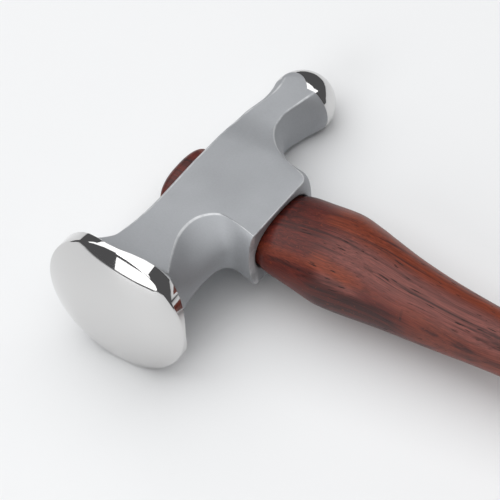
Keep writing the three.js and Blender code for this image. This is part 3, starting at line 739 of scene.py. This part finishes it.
class Nodes:
    """Short calls that add shader nodes to a tree and link them"""

    def __init__(self, tree):
        self.tree = tree
        tree.nodes.clear()

    def feed(self, sockets, inputs):
        for key, value in inputs.items():
            if isinstance(value, bpy.types.NodeSocket):
                self.tree.links.new(value, sockets[key])
            else:
                sockets[key].default_value = value

    def add(self, kind, inputs=None, **settings):
        node = self.tree.nodes.new(kind)
        for name, value in settings.items():
            setattr(node, name, value)
        self.feed(node.inputs, inputs or {})
        return node

    def math(self, operation, first, second=0.0, clamp=False):
        inputs = {0: first, 1: second}
        return self.add('ShaderNodeMath', inputs, operation=operation, use_clamp=clamp).outputs[0]

    def ramp(self, value, low, high, start=0.0, end=1.0):
        """From start at low to end at high, eased between them and level outside"""
        inputs = {'Value': value, 'From Min': low, 'From Max': high, 'To Min': start, 'To Max': end}
        return self.add('ShaderNodeMapRange', inputs, interpolation_type='SMOOTHSTEP').outputs[0]

    def noise(self, vector, sizes, detail=2.0, roughness=0.5):
        """Noise whose blots are about as long as the sizes, in millimetres along x, y and z"""
        scaled = self.add('ShaderNodeMapping', {'Vector': vector, 'Scale': [1 / size for size in sizes]})
        inputs = {'Vector': scaled.outputs[0], 'Scale': 1.0, 'Detail': detail, 'Roughness': roughness}
        return self.add('ShaderNodeTexNoise', inputs).outputs['Fac']

    def blend(self, factor, first, second, kind='MIX'):
        node = self.add('ShaderNodeMix', data_type='RGBA', blend_type=kind)
        self.feed(node.inputs, {0: factor, 6: first, 7: second})
        return node.outputs[2]

    def hammer_place(self):
        """Object coordinates turned back into the hammer's own millimetres"""
        inputs = {
            'Vector': self.add('ShaderNodeTexCoord').outputs['Object'],
            'Location': REST_PLACE * MM, 'Rotation': REST_TURN, 'Scale': (MM, MM, MM)}
        return self.add('ShaderNodeMapping', inputs, vector_type='TEXTURE').outputs[0]

    def gray(self, tone):
        return self.add('ShaderNodeCombineColor', {0: tone, 1: tone, 2: tone}).outputs[0]

    def bump(self, height, strength, distance):
        inputs = {'Strength': strength, 'Distance': distance * MM, 'Height': height}
        return self.add('ShaderNodeBump', inputs).outputs[0]

    def surface(self, inputs):
        shader = self.add('ShaderNodeBsdfPrincipled', inputs)
        self.add('ShaderNodeOutputMaterial', {'Surface': shader.outputs[0]})


def new_material(name):
    material = bpy.data.materials.new(name)
    material.use_nodes = True
    return material, Nodes(material.node_tree)


def satin_mask(nodes, place):
    """1 on the satin body, 0 on the polished face and ball"""
    x, y, z = nodes.add('ShaderNodeSeparateXYZ', {0: place}).outputs
    behind_face = nodes.ramp(y, FLARE_SETBACK - POLISH_BLUR, FLARE_SETBACK + POLISH_BLUR)
    beside = nodes.math('SUBTRACT', x, POLISH_CURVE_OFFSET)
    curve = nodes.math('MULTIPLY', nodes.math('POWER', nodes.math('ABSOLUTE', beside), 2.0), -POLISH_CURVE)
    flat_edge = BALL_CHEEK_HALF_THICKNESS - POLISH_FLAT_DEPTH
    on_flat = nodes.ramp(nodes.math('ABSOLUTE', z), flat_edge, flat_edge + POLISH_BLUR)
    reach = nodes.math('MULTIPLY', nodes.math('ADD', curve, POLISH_FLAT_REACH), on_flat)
    past_border = nodes.math('SUBTRACT', y, nodes.math('MAXIMUM', reach, 0.0))
    on_ball = nodes.ramp(past_border, BALL_POLISH_SETBACK - POLISH_BLUR, BALL_POLISH_SETBACK + POLISH_BLUR)
    return nodes.math('SUBTRACT', behind_face, on_ball, clamp=True)


def head_steel():
    material, nodes = new_material("head_steel")
    place = nodes.hammer_place()
    satin = satin_mask(nodes, place)
    ridge = nodes.add('ShaderNodeAttribute', attribute_name=RIDGE).outputs['Fac']
    cloud = nodes.noise(place, SATIN_CLOUD_BLOTS, detail=3)
    grain = nodes.noise(place, SATIN_GRAIN_BLOTS, detail=3, roughness=0.6)
    # Painted highlight along the marked ridges, broken into spots
    ridge_highlight_share = nodes.ramp(nodes.noise(place, RIDGE_HIGHLIGHT_BLOTS, detail=3), *RIDGE_HIGHLIGHT_LEVELS, *RIDGE_HIGHLIGHT_SHARES)
    ridge_highlight = nodes.math('MULTIPLY', ridge, ridge_highlight_share)
    cloud_tone = nodes.ramp(cloud, *EVEN_LEVELS, *SATIN_CLOUD_TONES)
    grain_tone = nodes.ramp(grain, *EVEN_LEVELS, *SATIN_GRAIN_TONES)
    tone = nodes.gray(nodes.math('MULTIPLY', cloud_tone, grain_tone))
    dull = nodes.blend(1.0, SATIN_COLOR, tone, 'MULTIPLY')
    dull = nodes.blend(ridge_highlight, dull, RIDGE_HIGHLIGHT_COLOR)
    color = nodes.blend(satin, POLISH_COLOR, dull)
    satin_roughness = nodes.ramp(grain, *WIDE_LEVELS, *SATIN_ROUGHNESS)
    satin_roughness = nodes.math('ADD', satin_roughness, nodes.math('MULTIPLY', ridge_highlight, RIDGE_HIGHLIGHT_SMOOTHER))
    smear = nodes.ramp(nodes.noise(place, SMEAR_BLOTS, detail=4), *SMEAR_LEVELS, *SMEAR_ROUGHNESS)
    roughness = nodes.add('ShaderNodeMix', {0: satin, 2: smear, 3: satin_roughness}).outputs[0]
    normal = nodes.bump(nodes.math('MULTIPLY', grain, satin), *SATIN_BUMP)
    nodes.surface({'Base Color': color, 'Metallic': 1.0, 'Roughness': roughness, 'Normal': normal})
    return material


def wood_grain_group():
    """Open-pored wood with its grain along x: growth layers as planes across y, streaks, fibres, dark pores
    and warm specks"""
    tree = bpy.data.node_groups.new("wood_grain", 'ShaderNodeTree')
    inputs = {
        "Place": 'NodeSocketVector', "Fineness": 'NodeSocketFloat', "Dark": 'NodeSocketColor',
        "Middle": 'NodeSocketColor', "Painted Sheen": 'NodeSocketColor', "Warm": 'NodeSocketColor',
        "Duskiness": 'NodeSocketFloat', "Warmth": 'NodeSocketFloat', "Darkness": 'NodeSocketFloat'}
    outputs = {"Color": 'NodeSocketColor', "Roughness": 'NodeSocketFloat', "Height": 'NodeSocketFloat'}
    for side, sockets in (('INPUT', inputs), ('OUTPUT', outputs)):
        for name, kind in sockets.items():
            tree.interface.new_socket(name, in_out=side, socket_type=kind)
    nodes = Nodes(tree)
    given = nodes.add('NodeGroupInput').outputs
    scaled = nodes.add('ShaderNodeVectorMath', {0: given["Place"], 3: given["Fineness"]}, operation='SCALE')
    place = scaled.outputs[0]
    wander = nodes.add('ShaderNodeTexNoise', {'Vector': place, 'Scale': WANDER_SCALE, 'Detail': 1.0})
    inputs = {0: wander.outputs['Color'], 1: WANDER_REACH, 2: place}
    bent = nodes.add('ShaderNodeVectorMath', inputs, operation='MULTIPLY_ADD').outputs[0]

    layer = nodes.noise(bent, LAYER_BLOTS)
    streak = nodes.noise(bent, STREAK_BLOTS, detail=3, roughness=0.6)
    fibre = nodes.noise(bent, FIBRE_BLOTS, detail=3, roughness=0.7)
    patch = nodes.noise(bent, PATCH_BLOTS, detail=1)
    pore = nodes.ramp(nodes.noise(bent, PORE_BLOTS, detail=1, roughness=0.3), *PORE_LEVELS)
    speck = nodes.ramp(nodes.noise(place, SPECK_BLOTS, detail=1), *SPECK_LEVELS)

    color = nodes.blend(nodes.ramp(layer, *LAYER_DARK_LEVELS), given["Dark"], given["Middle"])
    color = nodes.blend(nodes.ramp(layer, *LAYER_WARM_LEVELS, 0.0, LAYER_WARMTH), color, given["Warm"])
    uneven = nodes.ramp(streak, *STREAK_TINT_LEVELS, *STREAK_TINT_SHARES)
    # Painted sheen: the pale colour blended in where the handle's masks ask for it, broken by the streaks
    color = nodes.blend(nodes.math('MULTIPLY', given["Duskiness"], uneven), color, given["Painted Sheen"])
    color = nodes.blend(nodes.math('MULTIPLY', given["Warmth"], uneven), color, given["Warm"])
    # Painted shade along the lower edge and beside the socket, and a real scratch: the dark colour blended
    # in where the handle's masks ask for it, broken into streaks
    broken = nodes.ramp(nodes.noise(bent, BREAK_BLOTS), *BREAK_LEVELS, *BREAK_SHARES)
    color = nodes.blend(nodes.math('MULTIPLY', given["Darkness"], broken), color, given["Dark"])
    color = nodes.blend(nodes.ramp(streak, *STREAK_DARK_LEVELS, 0.0, STREAK_DARKNESS), color, given["Dark"])
    tone = nodes.gray(nodes.ramp(fibre, *FIBRE_LEVELS, *FIBRE_TONES))
    color = nodes.blend(1.0, color, tone, 'MULTIPLY')
    speck_share = nodes.ramp(patch, *SPECK_PATCH_LEVELS, *SPECK_SHARES)
    color = nodes.blend(nodes.math('MULTIPLY', speck, speck_share), color, given["Warm"])
    dark_pore = nodes.math('MULTIPLY', pore, nodes.ramp(patch, *PORE_PATCH_LEVELS, *PORE_SHARES))
    color = nodes.blend(dark_pore, color, nodes.blend(PORE_BLACKNESS, given["Dark"], PORE_BLACK))
    fibre_roughness = nodes.ramp(fibre, *WIDE_LEVELS, *FIBRE_ROUGHNESS)
    roughness = nodes.math('ADD', fibre_roughness, nodes.math('MULTIPLY', dark_pore, PORE_ROUGHER))
    height = nodes.math('SUBTRACT', nodes.math('MULTIPLY', fibre, FIBRE_HEIGHT), dark_pore)
    nodes.add('NodeGroupOutput', {"Color": color, "Roughness": roughness, "Height": height})
    return tree


def wood(name, grain, inputs, tint_masks):
    material, nodes = new_material(name)
    place = nodes.hammer_place()
    grain_node = nodes.add('ShaderNodeGroup', node_tree=grain)
    nodes.feed(grain_node.inputs, {"Place": place, **inputs, **tint_masks(nodes, place)})
    color, roughness, height = grain_node.outputs
    normal = nodes.bump(height, *WOOD_BUMP)
    nodes.surface({
        'Base Color': color, 'Roughness': roughness, 'Normal': normal, 'Specular IOR Level': WOOD_SPECULAR})
    return material


def handle_tints(nodes, place):
    """Painted sheen along the middle of the swell and the neck and in a pale patch low on the swell, warm
    along the side next to the ball, in a patch next to the face and low on the neck, painted shade along the
    edge below that patch and beside the socket, and dark in a scratch across the grain"""
    x, y, z = nodes.add('ShaderNodeSeparateXYZ', {0: place}).outputs
    lean = nodes.ramp(x, SOCKET_REACH, LEAN_REACH, 0.0, HANDLE_LEAN)
    beside = nodes.math('ADD', nodes.math('SUBTRACT', y, EYE_SETBACK), lean)
    join = lambda first, second: nodes.math('MAXIMUM', first, second)
    product = lambda first, second: nodes.math('MULTIPLY', first, second)

    def stretch(start, full, fading, end):
        return product(nodes.ramp(x, start, full), nodes.ramp(x, end, fading))

    def band(middle, outer, inner, share):
        distance = nodes.math('ABSOLUTE', nodes.math('SUBTRACT', beside, middle))
        return nodes.ramp(distance, outer, inner, 0.0, share)

    def side(start, full, share):
        return nodes.ramp(beside, start, full, 0.0, share)

    def rise(start, full):
        return nodes.ramp(z, start, full)

    # Painted sheen along the middle of the swell and the neck
    middle_sheen = product(nodes.ramp(x, *MIDDLE_SHEEN_START), band(*MIDDLE_SHEEN_BAND, MIDDLE_SHEEN_SHARE))
    # Painted sheen in a pale patch low on the swell
    sheen = product(stretch(*SHEEN_STRETCH), product(band(*SHEEN_BAND, SHEEN_SHARE), rise(*SHEEN_RISE)))
    warm = product(nodes.ramp(x, *WARM_START), side(*WARM_SIDE, WARM_SHARE))
    warm_patch = product(
        stretch(*WARM_PATCH_STRETCH),
        product(band(*WARM_PATCH_BAND, WARM_PATCH_SHARE), rise(*WARM_PATCH_RISE)))
    low_band = product(nodes.ramp(x, *LOW_BAND_START), side(*LOW_BAND_SIDE, LOW_BAND_SHARE))
    # Painted shade low on the face side
    low_edge_shade = product(
        stretch(*LOW_EDGE_SHADE_STRETCH), product(side(*LOW_EDGE_SHADE_SIDE, LOW_EDGE_SHADE_SHARE), rise(*LOW_EDGE_SHADE_RISE)))
    # Painted shade beside the socket
    socket_shade = product(stretch(*SOCKET_SHADE_STRETCH), side(*SOCKET_SHADE_SIDE, SOCKET_SHADE_SHARE))
    scratch = product(
        stretch(*SCRATCH_STRETCH), product(band(*SCRATCH_BAND, SCRATCH_SHARE), rise(*SCRATCH_RISE)))
    return {
        "Duskiness": join(middle_sheen, sheen), "Warmth": join(join(warm, warm_patch), low_band),
        "Darkness": join(join(low_edge_shade, socket_shade), scratch)}


def no_tints(nodes, place):
    return {}


def wedge_steel():
    material, nodes = new_material("wedge_steel")
    place = nodes.hammer_place()
    cloud = nodes.noise(place, WEDGE_STEEL_BLOTS, detail=4)
    color = nodes.blend(nodes.ramp(cloud, *EVEN_LEVELS), *WEDGE_STEEL_COLORS)
    roughness = nodes.ramp(cloud, *EVEN_LEVELS, *WEDGE_STEEL_ROUGHNESS)
    normal = nodes.bump(cloud, *WEDGE_STEEL_BUMP)
    nodes.surface({'Base Color': color, 'Metallic': 1.0, 'Roughness': roughness, 'Normal': normal})
    return material


def bench_paint():
    material, nodes = new_material("bench_paint")
    nodes.surface({'Base Color': BENCH_COLOR, 'Roughness': BENCH_ROUGHNESS})
    return material


def make_bench():
    mesh = bmesh.new()
    bmesh.ops.create_grid(mesh, x_segments=1, y_segments=1, size=BENCH_HALF_SIZE)
    data = bpy.data.meshes.new("bench_top")
    mesh.to_mesh(data)
    mesh.free()
    bench = bpy.data.objects.new("bench_top", data)
    bpy.context.scene.collection.objects.link(bench)
    bench.data.materials.append(bench_paint())
    bench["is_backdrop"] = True


def make_lamp(name, place, target, sizes, watts):
    data = bpy.data.lights.new(name, 'AREA')
    data.shape = 'RECTANGLE'
    data.size, data.size_y = sizes
    data.energy = watts
    lamp = bpy.data.objects.new(name, data)
    lamp.location = place
    lamp.rotation_euler = (Vector(target) - Vector(place)).to_track_quat('-Z', 'Y').to_euler()
    bpy.context.scene.collection.objects.link(lamp)


def make_world():
    world = bpy.data.worlds.new("studio")
    world.use_nodes = True
    nodes = Nodes(world.node_tree)
    background = nodes.add('ShaderNodeBackground', {'Color': WORLD_COLOR, 'Strength': 1.0})
    nodes.add('ShaderNodeOutputWorld', {'Surface': background.outputs[0]})
    bpy.context.scene.world = world


def make_camera():
    data = bpy.data.cameras.new("camera")
    data.lens = CAMERA_LENS
    data.sensor_width = CAMERA_SENSOR
    data.clip_start = CAMERA_CLIP_START * MM
    camera = bpy.data.objects.new("camera", data)
    camera.location = CAMERA_PLACE * MM
    camera.rotation_euler = Euler([math.radians(turn) for turn in CAMERA_TURN])
    bpy.context.scene.collection.objects.link(camera)
    bpy.context.scene.camera = camera


make_camera()
make_world()
make_bench()
for name, settings in LAMPS.items():
    make_lamp(name, *settings)
make_head(head_steel())
grain = wood_grain_group()
make_handle_and_wedges(
    wood("handle_wood", grain, HANDLE_WOOD, handle_tints),
    wood("wedge_wood", grain, WEDGE_WOOD, no_tints),
    wedge_steel())

bpy.context.scene.view_settings.view_transform = 'Standard'

[[list(corner) for corner in bounds] for bounds in (cad_bounds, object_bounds())]
